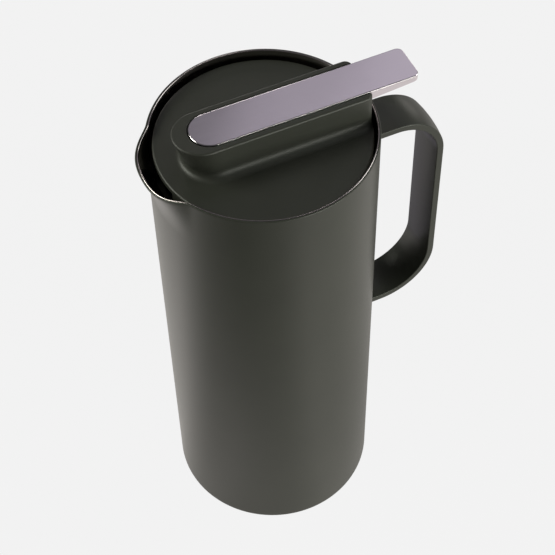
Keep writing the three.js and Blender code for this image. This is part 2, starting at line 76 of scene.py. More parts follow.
# Vessel
body_radius = shell_high.y
seam = shell_high.z
rim = liner_high.z
wall = 0.0006
foot_edge = 0.003
foot_opening = pad_high.y + clearance
pad_edge = 0.0005
liner_gap = 0.0037
floor_round = 0.008
mouth_depth = 0.012
bead_width = 0.0008
coat_lip = 0.0005
lip_step = 0.00008
shoulder_drop = 0.003
shell_inner = body_radius - wall
mouth_outer = shell_inner - clearance
mouth_radius = mouth_outer - wall
bead_outer = mouth_radius + bead_width
liner_outer = shell_inner - liner_gap
liner_inner = liner_outer - wall
shoulder_top = rim - mouth_depth
shoulder_foot = shoulder_top - shoulder_drop
shoulder_slope = shoulder_drop / (mouth_radius - liner_inner)

# Spout
spout_reach = -shell_low.x - body_radius
spout_dip = 0.003
spout_half_angle = math.radians(30.5)
spout_fullness = 3.2
shell_curl = 1.8
liner_curl = 1.1
spout_fade = 0.025

# Handle
handle_reach = handle_high.x
handle_half_width = handle_high.y
handle_thickness = 0.0035
handle_edge = 0.0005
handle_crown = 0.0008
handle_top_bend = 0.026
handle_bottom_bend = 0.029
weld_fillet = 0.0008
weld_bite = clearance / 3

# Lid cover with its raised housing, the boss
lid_radius = cover_high.y
lid_edge = 0.001
lid_edge_fade = 4
lever_proud = 0.00025
disc_drop = 0.0041
disc_thickness = 0.0024
disc_top = rim - disc_drop
disc_under = disc_top - disc_thickness
skirt_wall = 0.002
skirt_gap = 0.0004
skirt_inner = lid_radius - skirt_wall
skirt_foot = shoulder_foot + shoulder_slope * (lid_radius - liner_inner) + skirt_gap
boss_top = cover_high.z - lever_proud
boss_half_width = 0.0132
boss_front = 0.0423
boss_rake = 0.006
boss_rear = lid_radius
boss_corner = 0.0035
boss_draft = 0.0003
boss_fillet = 0.0045
boss_edge = 0.001
slot_edge = 0.0003
slot_corner = 0.001
sill_wall = 0.003
sill_height = 0.004
tray_thickness = 0.002
stem_hole = 0.0045
post_radius = 0.0034
post_circle = 0.033
post_count = 4
screw_head_radius = (screw_high.x - screw_low.x) / 2
screw_bore = screw_head_radius / 2

# Lever
lever_half_width = lever_high.y
lever_front = -lever_low.x
lever_tip = lever_high.x
lever_top = lever_high.z
lever_gap = 0.0005
lever_thickness = 0.0048
lever_tip_thickness = 0.003
lever_corner = 0.003
lever_edge = 0.0005
lever_edge_start = 25
lever_under = lever_top - lever_thickness
pivot_x = (pin_low.x + pin_high.x) / 2
pin_height = (pin_low.z + pin_high.z) / 2
pin_bore = (pin_high.z - pin_low.z) / 2 + clearance
ear_radius = 0.0034
ear_width = 0.0028
fork_half = 0.0041
fork_near = 0.0033
fork_width = 0.0024
fork_wall = 0.0018
link_bore = 0.0016
link_play = 0.0007
snap_half = 0.0012
slot_front = lever_front + lever_gap
slot_half_width = lever_half_width + lever_gap
tray_gap = 0.0008
tray_top = pin_height - ear_radius - tray_gap
sill_top = tray_top + sill_height
sill_front = boss_rear - sill_wall

# Plug, gasket and spring
plug_radius = 0.043
plug_wall = 0.002
plug_floor = 0.0022
flange_thickness = 0.0015
flange_edge = 0.0003
gasket_lip = 0.0013
chamber_radius = 0.016
chamber_wall = 0.0016
channel_half_width = 0.011
window_sill = 0.0008
port_radius = 0.0095
seat_width = 0.002
seat_height = 0.0012
spring_wire = 0.0006
spring_curls = 5

# Camera of the photograph: its place, its turns in degrees, its lens and sensor in millimetres
camera_place = (-0.1780, -0.4234, 0.7504)
camera_heading = 23.407
camera_pitch = 52.524
camera_roll = 1.495
camera_lens = 98.17
camera_sensor = 36

# Floor and world: how pale they look, and the light that they give
floor_reach = 8.0
floor_depth = 0.02
floor_pale = 0.888
floor_cloud = 0.004
floor_cloud_size = 0.5
sky_glow = 0.06
warm = (1.0, 0.95, 0.91)
violet = (0.95, 0.88, 1.0)

# Light from the floor: direction in degrees from -Y towards the handle, brightness and tint
floor_glow = (
    (-45, 0.0, warm),
    (-10, 0.32, warm),
    (15, 0.74, warm),
    (40, 0.62, warm),
    (110, 0.72, warm),
    (155, 0.05, violet),
    (164, 0.8, violet),
    (182, 0.05, violet),
    (196, 0.9, warm),
    (205, 1.0, warm),
    (220, 1.0, warm),
    (245, 1.3, warm),
    (280, 0.34, warm),
)

# Round pools in the floor's glow: middle, radius and brightness; the first is a painted pool of light,
# the second a painted shadow by the jug's foot on the handle side
lit_and_shaded_pools = (
    ((-0.07, -0.05), 0.16, 0.78),
    ((0.09, -0.02), 0.12, 0.5),
)

# Soft lights: name, direction as above, height in degrees, size, power and tint
light_target = (0, 0, 0.15)
light_distance = 1.5
lights = (
    ("front light", 24, 7, (1.1, 0.6), 16.5, (0.98, 1.0, 0.9)),
    ("right light", 80, 35, (0.75, 0.75), 6.0, (0.98, 1.0, 0.95)),
    ("far right light", 129, 46, (0.75, 0.9), 0.26, violet),
    ("rear right light", 138, 46, (0.75, 0.9), 0.39, violet),
    ("low right rear light", 126, 12, (0.4, 0.4), 0.9, warm),
    ("rear light", 150, 46, (0.75, 0.9), 0.24, violet),
    ("low rear light", 167, 18, (0.3, 0.5), 1.9, warm),
    ("left light", 240, 38, (0.75, 0.75), 14.2, (0.98, 1.0, 0.88)),
)

# Finishes: the span of a noise in use, its detail, the strength of relief, and patterns in metal
noise_low = 0.3
noise_high = 0.7
soft_detail = 2.0
fine_detail = 3.0
grain_relief = 0.35
line_relief = 0.2
metal_cloud = 0.03
turned_line_scale = (3.0, 5000.0, 5000.0)

# Points round a full turn and along the outlines of the lid and lever
around = 240
around_small = 48
cover_points = 220
rim_points = 140
rim_points_start = 0.01
slot_points = 160
hollow_points = 120
lever_points = 240
wire_points = 12
curl_points = 28
outline_fineness = 20
outline_halvings = 48

# Steps along walls and roundings
flange_steps = 4
small_steps = 5
fine_steps = 6
edge_steps = 8
liner_steps = 8
foot_steps = 10
round_steps = 12
mouth_steps = 14
crown_steps = 14
wall_steps = 16
spout_steps = 24
bend_steps = 24
lip_steps = 40

# How near points are one, at what angle an edge breaks, and how far large faces lead the shading
merge_distance = 1e-7
crease = math.radians(32)
large_face_lead = 100


def arc(x, z, radius, start, end, steps):
    """Points along an arc, angles in degrees."""
    angles = np.radians(np.linspace(start, end, steps + 1))
    return list(zip(x + radius * np.cos(angles), z + radius * np.sin(angles)))


def rise(radius, start, end, steps):
    """Points straight up or down a wall of one radius."""
    return [(radius, height) for height in np.linspace(start, end, steps + 1)]


def end_point(x, z):
    """A ring of one point, which closes an end of a skin."""
    return np.array([[x, 0, z]])


def level(outline, height):
    """An outline at one height."""
    return np.column_stack([outline, np.full(len(outline), height)])


def skin(rings, loop=False):
    """A skin through rings of points. A loop joins the last ring to the first."""
    starts = np.cumsum([0] + [len(ring) for ring in rings])
    count = max(len(ring) for ring in rings)
    following = list(range(1, len(rings))) + ([0] if loop else [])
    faces = []
    for low, high in enumerate(following):
        for k in range(count):
            after = (k + 1) % count
            corners = (
                starts[low] + k % len(rings[low]),
                starts[low] + after % len(rings[low]),
                starts[high] + after % len(rings[high]),
                starts[high] + k % len(rings[high]),
            )
            faces.append([int(corner) for corner in dict.fromkeys(corners)])
    return np.concatenate(rings), faces


def turned(profile, count=around):
    """A form turned about Z, from radii and heights that close on the axis or on themselves."""
    turns = np.linspace(0, 2 * math.pi, count, endpoint=False)
    circle = np.column_stack([np.cos(turns), np.sin(turns)])
    rings = []
    for radius, height in profile:
        rings.append(level(radius * circle, height) if radius > 0 else end_point(0, height))
    return skin(rings, loop=profile[0][0] > 0)


def bar(radius, bottom, top, count=around_small):
    """A plain upright round bar, for joins and cuts."""
    return turned([(0, bottom), (radius, bottom), (radius, top), (0, top)], count)


def drawn_out(outline, low, high, axis):
    """An outline in X and Z drawn out along Y, or in X and Y drawn out along Z."""
    first, second = np.array(outline).T
    count = len(outline)
    rings = []
    for end in (low, high):
        depth = np.full(count, end)
        columns = [first, depth, second] if axis == "Y" else [first, second, depth]
        rings.append(np.stack(columns, 1))
    places, faces = skin(rings)
    return places, faces + [list(range(count)), list(range(count, 2 * count))]


def block(low, high):
    """A box between two corners, for joins and cuts."""
    outline = [(low[0], low[1]), (high[0], low[1]), (high[0], high[1]), (low[0], high[1])]
    return drawn_out(outline, low[2], high[2], "Z")


def cross_bar(radius, half_length, x, z):
    """A plain round bar along Y, for cuts."""
    outline = arc(x, z, radius, 0, 360, around_small)[:-1]
    return drawn_out(outline, -half_length, half_length, "Y")


def moved(form, x, y):
    """A form moved in the plane."""
    places, faces = form
    return places + np.array([x, y, 0]), faces


def paddle(turns, centre, front, rear, half_width, corner, follow_rim=False):
    """A long outline on rays from a centre on X, half round in front, square or along the rim behind."""
    inner, outer = np.zeros(len(turns)), np.full(len(turns), front + rear)
    corner_x, corner_y = rear - corner, half_width - corner
    if follow_rim:
        corner_x = math.sqrt(corner_x**2 - corner_y**2)
    for _ in range(outline_halvings):
        middle = (inner + outer) / 2
        x, y = centre + middle * np.cos(turns), np.abs(middle * np.sin(turns))
        nose = np.hypot(x - half_width + front, y) <= half_width
        bend = np.hypot(x - corner_x, y - corner_y) <= corner
        end = np.hypot(x, y) <= rear if follow_rim else x <= rear
        beyond = y * corner_x > x * corner_y if follow_rim else y > corner_y
        inside = np.where((x > corner_x) & beyond, bend, end & (y <= half_width))
        inside = np.where(x < half_width - front, nose, inside)
        inner, outer = np.where(inside, middle, inner), np.where(inside, outer, middle)
    return np.stack([centre + inner * np.cos(turns), inner * np.sin(turns)], 1)


def paddle_turns(centre, front, rear, half_width, corner, count):
    """Angles from a centre that space points evenly along such an outline."""
    fine = np.linspace(0, 2 * math.pi, outline_fineness * count)
    places = paddle(fine, centre, front, rear, half_width, corner)
    length = np.concatenate([[0], np.cumsum(np.hypot(*np.diff(places, axis=0).T))])
    return np.interp(np.linspace(0, length[-1], count, endpoint=False), length, fine)


def with_spout(form, fade_start, curl):
    """Draws a round wall out and down into the spout, from nothing at fade_start to full at the seam."""
    places, faces = form
    x, y, z = places.T
    share = np.clip((z - fade_start) / (seam - fade_start), 0, 1)
    turn = np.minimum(np.abs(np.arctan2(y, -x)) / spout_half_angle, 1)
    flare = (1 - turn**spout_fullness) ** 2 * share**curl
    growth = 1 + spout_reach * flare / np.maximum(np.hypot(x, y), wall)
    return np.stack([x * growth, y * growth, z - spout_dip * flare], 1), faces


def mesh_object(name, form):
    """An object with a closed mesh whose faces point out."""
    places, faces = form
    mesh = bpy.data.meshes.new(name)
    mesh.from_pydata(places.tolist(), [], faces)
    shape = bmesh.new()
    shape.from_mesh(mesh)
    bmesh.ops.remove_doubles(shape, verts=shape.verts, dist=merge_distance)
    bmesh.ops.dissolve_degenerate(shape, edges=shape.edges, dist=merge_distance)
    bmesh.ops.recalc_face_normals(shape, faces=shape.faces)
    shape.to_mesh(mesh)
    shape.free()
    made = bpy.data.objects.new(name, mesh)
    bpy.context.scene.collection.objects.link(made)
    return made


def worked(made, *steps):
    """Joins and cuts an object: each step is DIFFERENCE, UNION or INTERSECT with its forms."""
    for operation, forms in steps:
        for form in forms:
            tool = mesh_object("tool", form)
            step = made.modifiers.new("step", "BOOLEAN")
            step.operation = operation
            step.solver = "MANIFOLD"
            step.object = tool
            depsgraph = bpy.context.evaluated_depsgraph_get()
            result = bpy.data.meshes.new_from_object(made.evaluated_get(depsgraph))
            made.modifiers.clear()
            made.data = result
            bpy.data.objects.remove(tool)


def finished(made, body, material, node):
    """Gives a piece its shading, finish, body and the solid that it stands for."""
    made.data.name = made.name
    made.data.shade_smooth()
    made.data.set_sharp_from_angle(angle=crease)
    even = made.modifiers.new("even shading", "WEIGHTED_NORMAL")
    even.weight = large_face_lead
    even.keep_sharp = True
    made.data.materials.clear()
    made.data.materials.append(material)
    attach(made, body)
    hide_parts(node)


def add_node(tree, kind, settings=(), **inputs):
    """A shader node with its settings, and inputs (with _ for a space) that take a value or a socket."""
    made = tree.nodes.new(kind)
    for name, value in dict(settings).items():
        setattr(made, name, value)
    for name, value in inputs.items():
        socket = made.inputs[name.replace("_", " ")]
        if isinstance(value, bpy.types.NodeSocket):
            tree.links.new(value, socket)
        else:
            socket.default_value = value
    return made


def new_finish(name):
    """An empty material, its node tree, its shader and the place in the jug's own frame."""
    material = bpy.data.materials.new(name)
    material.use_nodes = True
    tree = material.node_tree
    shader = tree.nodes["Principled BSDF"]
    place = tree.nodes.new("ShaderNodeTexCoord").outputs["Object"]
    return material, tree, shader, place


def noise(tree, place, size, detail=soft_detail):
    """Soft noise with features of one size in metres."""
    made = add_node(tree, "ShaderNodeTexNoise", Vector=place, Scale=1 / size, Detail=detail)
    return made.outputs["Fac"]


def between(tree, factor, low, high):
    """A noise stretched to run from one value to another."""
    made = add_node(
        tree,
        "ShaderNodeMapRange",
        Value=factor,
        From_Min=noise_low,
        From_Max=noise_high,
        To_Min=low,
        To_Max=high,
    )
    return made.outputs["Result"]


def mixed(tree, factor, first, second):
    """A colour between two, each a plain colour or a socket, by a factor."""
    made = add_node(tree, "ShaderNodeMix", {"data_type": "RGBA"})
    tree.links.new(factor, made.inputs["Factor"])
    colour_sockets = [socket for socket in made.inputs if socket.type == "RGBA"]
    for socket, colour in zip(colour_sockets, (first, second)):
        if isinstance(colour, bpy.types.NodeSocket):
            tree.links.new(colour, socket)
        else:
            socket.default_value = (*colour, 1)
    return next(socket for socket in made.outputs if socket.type == "RGBA")


def clouded(tree, pattern, dark, light):
    """A colour that drifts from dark to light with a pattern."""
    return mixed(tree, between(tree, pattern, 0, 1), dark, light)


def surface(tree, shader, colour, pattern, rough, depth, strength):
    """Gives a shader its colour, and its gloss and relief from one fine pattern."""
    tree.links.new(colour, shader.inputs["Base Color"])
    tree.links.new(between(tree, pattern, *rough), shader.inputs["Roughness"])
    relief = add_node(tree, "ShaderNodeBump", Height=pattern, Distance=depth, Strength=strength)
    tree.links.new(relief.outputs["Normal"], shader.inputs["Normal"])


def grained(name, dark, light, cloud, grain, rough, depth, specular, metallic=0.0):
    """A finish with soft clouds of colour and a fine grain in its gloss and relief."""
    material, tree, shader, place = new_finish(name)
    colour = clouded(tree, noise(tree, place, cloud), dark, light)
    fine = noise(tree, place, grain, fine_detail)
    surface(tree, shader, colour, fine, rough, depth, grain_relief)
    shader.inputs["Metallic"].default_value = metallic
    shader.inputs["Specular IOR Level"].default_value = specular
    return material


def brushed(name, dark, light, rough, stretch, depth):
    """Metal with fine lines: stretch gives the length of a feature along X, Y and Z."""
    material, tree, shader, place = new_finish(name)
    scale = [1 / length for length in stretch]
    stretched = add_node(tree, "ShaderNodeMapping", Vector=place, Scale=scale).outputs["Vector"]
    lines = noise(tree, stretched, 1.0, fine_detail)
    colour = clouded(tree, noise(tree, place, metal_cloud), dark, light)
    surface(tree, shader, colour, lines, rough, depth, line_relief)
    shader.inputs["Metallic"].default_value = 1.0
    return material


def turned_metal(name, dark, light, rough, depth):
    """Metal with fine lines that run round the jug."""
    material, tree, shader, place = new_finish(name)
    parts = add_node(tree, "ShaderNodeSeparateXYZ", Vector=place)
    x, y, z = (parts.outputs[axis] for axis in "XYZ")
    turn = add_node(tree, "ShaderNodeMath", {"operation": "ARCTAN2"})
    tree.links.new(y, turn.inputs[0])
    tree.links.new(x, turn.inputs[1])
    flat = add_node(tree, "ShaderNodeCombineXYZ", X=x, Y=y)
    radius = add_node(tree, "ShaderNodeVectorMath", {"operation": "LENGTH"})
    tree.links.new(flat.outputs["Vector"], radius.inputs[0])
    angle, distance = turn.outputs["Value"], radius.outputs["Value"]
    unrolled = add_node(tree, "ShaderNodeCombineXYZ", X=angle, Y=distance, Z=z).outputs["Vector"]
    scaled = add_node(tree, "ShaderNodeMapping", Vector=unrolled, Scale=turned_line_scale)
    lines = noise(tree, scaled.outputs["Vector"], 1.0)
    colour = clouded(tree, lines, dark, light)
    surface(tree, shader, colour, lines, rough, depth, line_relief)
    shader.inputs["Metallic"].default_value = 1.0
    return material


powder_coat = grained(
    "powder_coat",
    dark=(0.036, 0.039, 0.031),
    light=(0.040, 0.043, 0.034),
    cloud=0.03,
    grain=0.0004,
    rough=(0.3, 0.38),
    depth=0.00002,
    specular=0.4,
)
cover_plastic = grained(
    "cover_plastic",
    dark=(0.029, 0.031, 0.024),
    light=(0.032, 0.034, 0.027),
    cloud=0.02,
    grain=0.0003,
    rough=(0.42, 0.5),
    depth=0.00002,
    specular=0.5,
)
inner_plastic = grained(
    "inner_plastic",
    dark=(0.022, 0.022, 0.021),
    light=(0.027, 0.027, 0.026),
    cloud=0.02,
    grain=0.0003,
    rough=(0.38, 0.48),
    depth=0.00002,
    specular=0.4,
)
silicone = grained(
    "silicone",
    dark=(0.13, 0.135, 0.13),
    light=(0.16, 0.165, 0.16),
    cloud=0.015,
    grain=0.0005,
    rough=(0.6, 0.72),
    depth=0.00003,
    specular=0.3,
)
foam = grained(
    "foam",
    dark=(0.62, 0.59, 0.5),
    light=(0.7, 0.67, 0.58),
    cloud=0.004,
    grain=0.0012,
    rough=(0.85, 0.95),
    depth=0.0003,
    specular=0.2,
)
solder = grained(
    "solder",
    dark=(0.25, 0.24, 0.22),
    light=(0.34, 0.33, 0.31),
    cloud=0.003,
    grain=0.0006,
    rough=(0.45, 0.6),
    depth=0.0001,
    specular=0.5,
    metallic=1.0,
)
lever_metal = brushed(
    "lever_metal",
    dark=(0.86, 0.81, 0.86),
    light=(0.91, 0.86, 0.91),
    rough=(0.12, 0.16),
    stretch=(0.02, 0.0004, 0.0004),
    depth=0.000002,
)
bare_steel = brushed(
    "bare_steel",
    dark=(0.52, 0.5, 0.49),
    light=(0.6, 0.58, 0.57),
    rough=(0.24, 0.36),
    stretch=(0.0004, 0.0004, 0.004),
    depth=0.00001,
)
liner_steel = turned_metal(
    "turned_steel",
    dark=(0.46, 0.42, 0.415),
    light=(0.55, 0.505, 0.5),
    rough=(0.12, 0.2),
    depth=0.00001,
)


def body_shell():
    """The coated outer wall, with its rounded foot and the spout."""
    fade_start = seam - spout_fade
    foot = shell_low.z
    edge_middle = body_radius - foot_edge
    edge_height = foot + foot_edge
    lip_middle = body_radius - coat_lip
    lip_top = rim - lip_step
    lip_foot = lip_top - coat_lip
    profile = [
        (foot_opening, foot),
        *arc(edge_middle, edge_height, foot_edge, -90, 0, foot_steps),
        *rise(body_radius, foot + 2 * foot_edge, fade_start, wall_steps),
        *rise(body_radius, fade_start, lip_foot, spout_steps)[1:],
        *arc(lip_middle, lip_foot, coat_lip, 0, 90, fine_steps)[1:],
        (bead_outer, lip_top),
        (bead_outer, seam),
        *rise(shell_inner, seam, fade_start, spout_steps),
        *arc(edge_middle, edge_height, foot_edge - wall, 0, -90, foot_steps),
        (foot_opening, foot + wall),
    ]
    made = mesh_object("body_shell", with_spout(turned(profile), fade_start, shell_curl))
    finished(made, "vessel", powder_coat, "outer_shell")


def steel_liner():
    """The bare inner vessel, whose rolled lip is the bright line round the mouth."""
    bead_half = bead_width / 2
    under = liner_low.z
    bend_middle = liner_outer - floor_round
    bend_height = under + floor_round
    side_foot = under + 2 * floor_round
    profile = [
        (0, under),
        *arc(bend_middle, bend_height, floor_round, -90, 0, round_steps),
        *rise(liner_outer, side_foot, shoulder_foot, liner_steps),
        *rise(mouth_outer, shoulder_top, seam, mouth_steps),
        (bead_outer, seam),
        *arc(mouth_radius + bead_half, rim - bead_half, bead_half, 0, 180, mouth_steps),
        *rise(mouth_radius, seam, shoulder_top, mouth_steps),
        *rise(liner_inner, shoulder_foot, side_foot, liner_steps),
        *arc(bend_middle, bend_height, floor_round - wall, 0, -90, round_steps),
        (0, under + wall),
    ]
    made = mesh_object("steel_liner", with_spout(turned(profile), shoulder_top, liner_curl))
    finished(made, "vessel", liner_steel, "inner_liner")


def foot_pad():
    """The round pad that the jug stands on."""
    radius = pad_high.y
    profile = [
        (0, 0),
        *arc(radius - pad_edge, pad_edge, pad_edge, -90, 0, small_steps),
        (radius, pad_high.z),
        (0, pad_high.z),
    ]
    made = mesh_object("foot_pad", turned(profile))
    finished(made, "vessel", silicone, "base_pad")


def strap_section(grow):
    """The strap's section across and through it: rounded, a little crowned, and grown by a fillet."""
    half_thickness = handle_thickness / 2 + grow
    edge = handle_edge + grow
    flat = handle_half_width + grow - edge
    points = []
    for side, face, start in ((1, 1, 0), (-1, 1, 90), (-1, -1, 180), (1, -1, 270)):
        points += arc(side * flat, face * (half_thickness - edge), edge, start, start + 90, fine_steps)
        if side == face:
            for share in np.linspace(side, -side, crown_steps + 1)[1:-1]:
                crown = handle_crown * (1 - share**2)
                points.append((share * flat, face * (half_thickness + crown)))
    return np.array(points)


def weld_rings(arm, up):
    """Rings of an end of the strap, from its arm through the weld fillet to a point in the wall."""
    rings = []
    for away in np.linspace(weld_fillet, 0, fine_steps + 1):
        grow = weld_fillet - math.sqrt(weld_fillet**2 - (weld_fillet - away) ** 2)
        across, through = strap_section(grow).T
        wall_x = np.sqrt((body_radius - weld_bite) ** 2 - across**2)
        rings.append(np.stack([wall_x + away, across, arm + up * through], 1))
    return rings + [end_point(body_radius - clearance, arm)]


def strap_handle():
    """The flat strap, bent into a D, with a small weld fillet where its ends meet the wall."""
    half = handle_thickness / 2
    top_arm, bottom_arm = handle_high.z - half, handle_low.z + half
    reach = handle_reach - half
    top_bend, bottom_bend = handle_top_bend - half, handle_bottom_bend - half
    bends = (
        (reach - top_bend, top_arm - top_bend, top_bend, 90, 0),
        (reach - bottom_bend, bottom_arm + bottom_bend, bottom_bend, 0, -90),
    )
    across, through = strap_section(0).T
    rings = weld_rings(top_arm, 1)[::-1]
    for x, z, radius, start, end in bends:
        for angle in np.radians(np.linspace(start, end, bend_steps + 1)):
            out = radius + through
            rings.append(np.stack([x + out * np.cos(angle), across, z + out * np.sin(angle)], 1))
    rings += weld_rings(bottom_arm, -1)
    made = mesh_object("strap_handle", skin(rings))
    finished(made, "vessel", powder_coat, "handle")


def slot_tool(rear, bottom, flare):
    """A cutting tool in the shape of the lever's slot, flared at the top for a rounded edge."""
    centre = (rear - lever_front) / 2
    size = (slot_front, rear, slot_half_width, slot_corner)
    turns = paddle_turns(centre, *size, slot_points)
    steps = [(0, bottom)]
    if flare:
        steps += arc(flare, boss_top - flare, flare, 180, 90, small_steps)
    steps.append((flare, boss_top + past))
    rings = [end_point(centre, bottom)]
    for out, height in steps:
        grown = [length + out for length in size]
        rings.append(level(paddle(turns, centre, *grown), height))
    rings.append(end_point(centre, boss_top + past))
    return skin(rings)


def posts_and_bores():
    """The posts that hold the divider, and the bores for their screws."""
    posts, bores = [], []
    for k in range(post_count):
        angle = (2 * k + 1) * math.pi / post_count
        place = post_circle * math.cos(angle), post_circle * math.sin(angle)
        posts.append(moved(bar(post_radius, divider_high.z, disc_under + clearance), *place))
        bores.append(moved(bar(screw_bore, divider_low.z, screw_high.z + clearance), *place))
    return posts, bores


def cover_shell():
    """The lid's disc and skirt with the raised housing, which flares into the disc and holds the slot."""
    boss = (boss_front, boss_rear, boss_half_width, boss_corner)
    rim_turns = np.linspace(rim_points_start, 2 * math.pi, rim_points, endpoint=False)
    turns = np.sort(np.concatenate([paddle_turns(0, *boss, cover_points), rim_turns]))
    beside_boss = np.abs(lid_radius * np.sin(turns)) - boss_half_width - boss_draft - boss_fillet
    rear_edges = np.clip(beside_boss / lid_edge_fade, 0, lid_edge)
    edges = np.where(np.cos(turns) > 0, rear_edges, lid_edge)

    def circle(radius, height):
        columns = [radius * np.cos(turns), radius * np.sin(turns), height + 0 * turns]
        return np.stack(columns, 1)

    def boss_level(out, height):
        inset = min(out, 0)
        front = boss_front + out - boss_rake * (boss_top - height) / (boss_top - disc_top)
        size = (front, boss_rear + inset, boss_half_width + out, boss_corner + inset)
        return level(paddle(turns, 0, *size, follow_rim=True), height)

    skirt = ((skirt_inner, disc_under), (skirt_inner, skirt_foot), (lid_radius, skirt_foot))
    rings = [end_point(0, disc_under)]
    rings += [circle(radius, height) for radius, height in skirt]
    for x, z in arc(-1, -1, 1, 0, 90, edge_steps):
        rings.append(circle(lid_radius + x * edges, disc_top + z * edges))
    side = arc(boss_draft + boss_fillet, disc_top + boss_fillet, boss_fillet, 270, 180, round_steps)
    side += arc(-boss_edge, boss_top - boss_edge, boss_edge, 0, 90, edge_steps)
    rings += [boss_level(out, height) for out, height in side]
    rings.append(end_point(0, boss_top))
    made = mesh_object("cover_shell", skin(rings))
    posts, bores = posts_and_bores()
    slots = [slot_tool(boss_rear + past, sill_top, slot_edge), slot_tool(sill_front, tray_top, 0)]
    hollow_under = tray_top - tray_thickness
    hollow_size = (slot_front, sill_front, slot_half_width, slot_corner)
    hollow_turns = paddle_turns(0, *hollow_size, hollow_points)
    hollow = drawn_out(paddle(hollow_turns, 0, *hollow_size), plug_low.z, hollow_under, "Z")
    stem_bar = bar(stem_hole, hollow_under - past, tray_top + past)
    spout_notch = block(
        (-lid_radius - past, -channel_half_width, skirt_foot - past),
        (past - skirt_inner, channel_half_width, disc_under),
    )
    worked(
        made,
        ("UNION", posts),
        ("DIFFERENCE", bores),
        ("DIFFERENCE", slots),
        ("DIFFERENCE", [hollow, stem_bar, spout_notch]),
        ("DIFFERENCE", [cross_bar(pin_bore, pin_high.y + clearance, pivot_x, pin_height)]),
    )
    finished(made, "lid", cover_plastic, "lid_cover")


def lever_bar():
    """The polished lever, with its ears on the pivot pin and the slotted fork that lifts the stem."""
    size = (lever_front, lever_tip, lever_half_width, lever_corner)
    centre = (lever_tip - lever_front) / 2
    turns = paddle_turns(centre, *size, lever_points)

    def ring(inset, height):
        shrunk = [length - inset for length in size]
        return level(paddle(turns, centre, *shrunk), height)

    edge_reach = lever_edge * math.cos(math.radians(lever_edge_start))
    rings = [end_point(centre, lever_under), ring(0, lever_under)]
    for x, z in arc(0, lever_top - lever_edge, lever_edge, lever_edge_start, 90, fine_steps):
        rings.append(ring(edge_reach - x, z))
    rings.append(end_point(centre, lever_top))
    made = mesh_object("lever_bar", skin(rings))
    slope = (lever_thickness - lever_tip_thickness) / (lever_tip - boss_rear)
    far = lever_tip + past
    wedge = [
        (boss_rear, lever_under - past),
        (far, lever_under - past),
        (far, lever_under + slope * (far - boss_rear)),
        (boss_rear, lever_under),
    ]
    root = lever_under + lever_thickness / 2
    ear = arc(pivot_x, pin_height, ear_radius, 180, 360, bend_steps)
    ear += [(pivot_x + ear_radius, root), (pivot_x - ear_radius, root)]
    fork_foot = pin_height - link_bore - fork_wall
    fork = [(-fork_half, fork_foot), (fork_half, fork_foot), (fork_half, root), (-fork_half, root)]
    ear_near = lever_half_width - clearance - ear_width
    ears = []
    for outline, near, width in ((ear, ear_near, ear_width), (fork, fork_near, fork_width)):
        ears.append(drawn_out(outline, near, near + width, "Y"))
        ears.append(drawn_out(outline, -near - width, -near, "Y"))
    link_slot = arc(link_play, pin_height, link_bore, -90, 90, round_steps)
    link_slot += arc(-link_play, pin_height, link_bore, 90, 270, round_steps)
    snap = block(
        (pivot_x - snap_half, -lever_half_width, tray_top),
        (pivot_x + snap_half, lever_half_width, pin_height),
    )
    worked(
        made,
        ("DIFFERENCE", [drawn_out(wedge, -lever_half_width - past, lever_half_width + past, "Y")]),
        ("UNION", ears),
        ("DIFFERENCE", [cross_bar(pin_bore, lever_half_width, pivot_x, pin_height), snap]),
        ("DIFFERENCE", [drawn_out(link_slot, -lever_half_width, lever_half_width, "Y")]),
    )
    finished(made, "thumb_lever", lever_metal, "lever")


def channel_ribs():
    """The walls of the pouring channel and of the valve's chamber in the plug, as a form."""
    under, top = plug_low.z, divider_low.z
    foot = under + plug_floor / 2
    half = channel_half_width + chamber_wall
    far = plug_radius - plug_wall / 2
    channel = block(
        (-plug_radius, -channel_half_width, under),
        (0, channel_half_width, divider_high.z),
    )
    ribs = mesh_object("ribs", bar(chamber_radius + chamber_wall, foot, top, around))
    worked(
        ribs,
        ("UNION", [block((-far, -half, foot), (0, half, top))]),
        ("INTERSECT", [bar(far, under, top, around)]),
        ("DIFFERENCE", [bar(chamber_radius, under, divider_high.z, around), channel]),
    )
    places = np.array([corner.co for corner in ribs.data.vertices])
    faces = [list(face.vertices) for face in ribs.data.polygons]
    bpy.data.objects.remove(ribs)
    return places, faces


def plug_cup():
    """The cup under the cover, with the gasket's groove, the valve's seat and the window to the spout."""
    under, top = plug_low.z, plug_high.z
    flange = plug_high.y
    flange_middle = flange - flange_edge
    groove_under = under + flange_thickness
    groove_top = gasket_high.z + clearance
    upper_top = groove_top + flange_thickness
    floor_top = under + plug_floor
    inner = plug_radius - plug_wall
    seat_top = floor_top + seat_height
    profile = [
        (port_radius, under),
        *arc(flange_middle, under + flange_edge, flange_edge, -90, 0, flange_steps),
        *arc(flange_middle, groove_under - flange_edge, flange_edge, 0, 90, flange_steps),
        (plug_radius, groove_under),
        (plug_radius, groove_top),
        *arc(flange_middle, groove_top + flange_edge, flange_edge, -90, 0, flange_steps),
        *arc(flange_middle, upper_top - flange_edge, flange_edge, 0, 90, flange_steps),
        (plug_radius, upper_top),
        (plug_radius, top),
        (inner, top),
        (inner, floor_top),
        (port_radius + seat_width, floor_top),
        (port_radius + seat_width, seat_top),
        (port_radius, seat_top),
    ]
    made = mesh_object("plug_cup", turned(profile))
    window = block(
        (-flange, -channel_half_width, upper_top + window_sill),
        (-chamber_radius, channel_half_width, divider_low.z - window_sill),
    )
    worked(made, ("UNION", [channel_ribs()]), ("DIFFERENCE", [window]))
    finished(made, "lid", inner_plastic, "lid_plug")


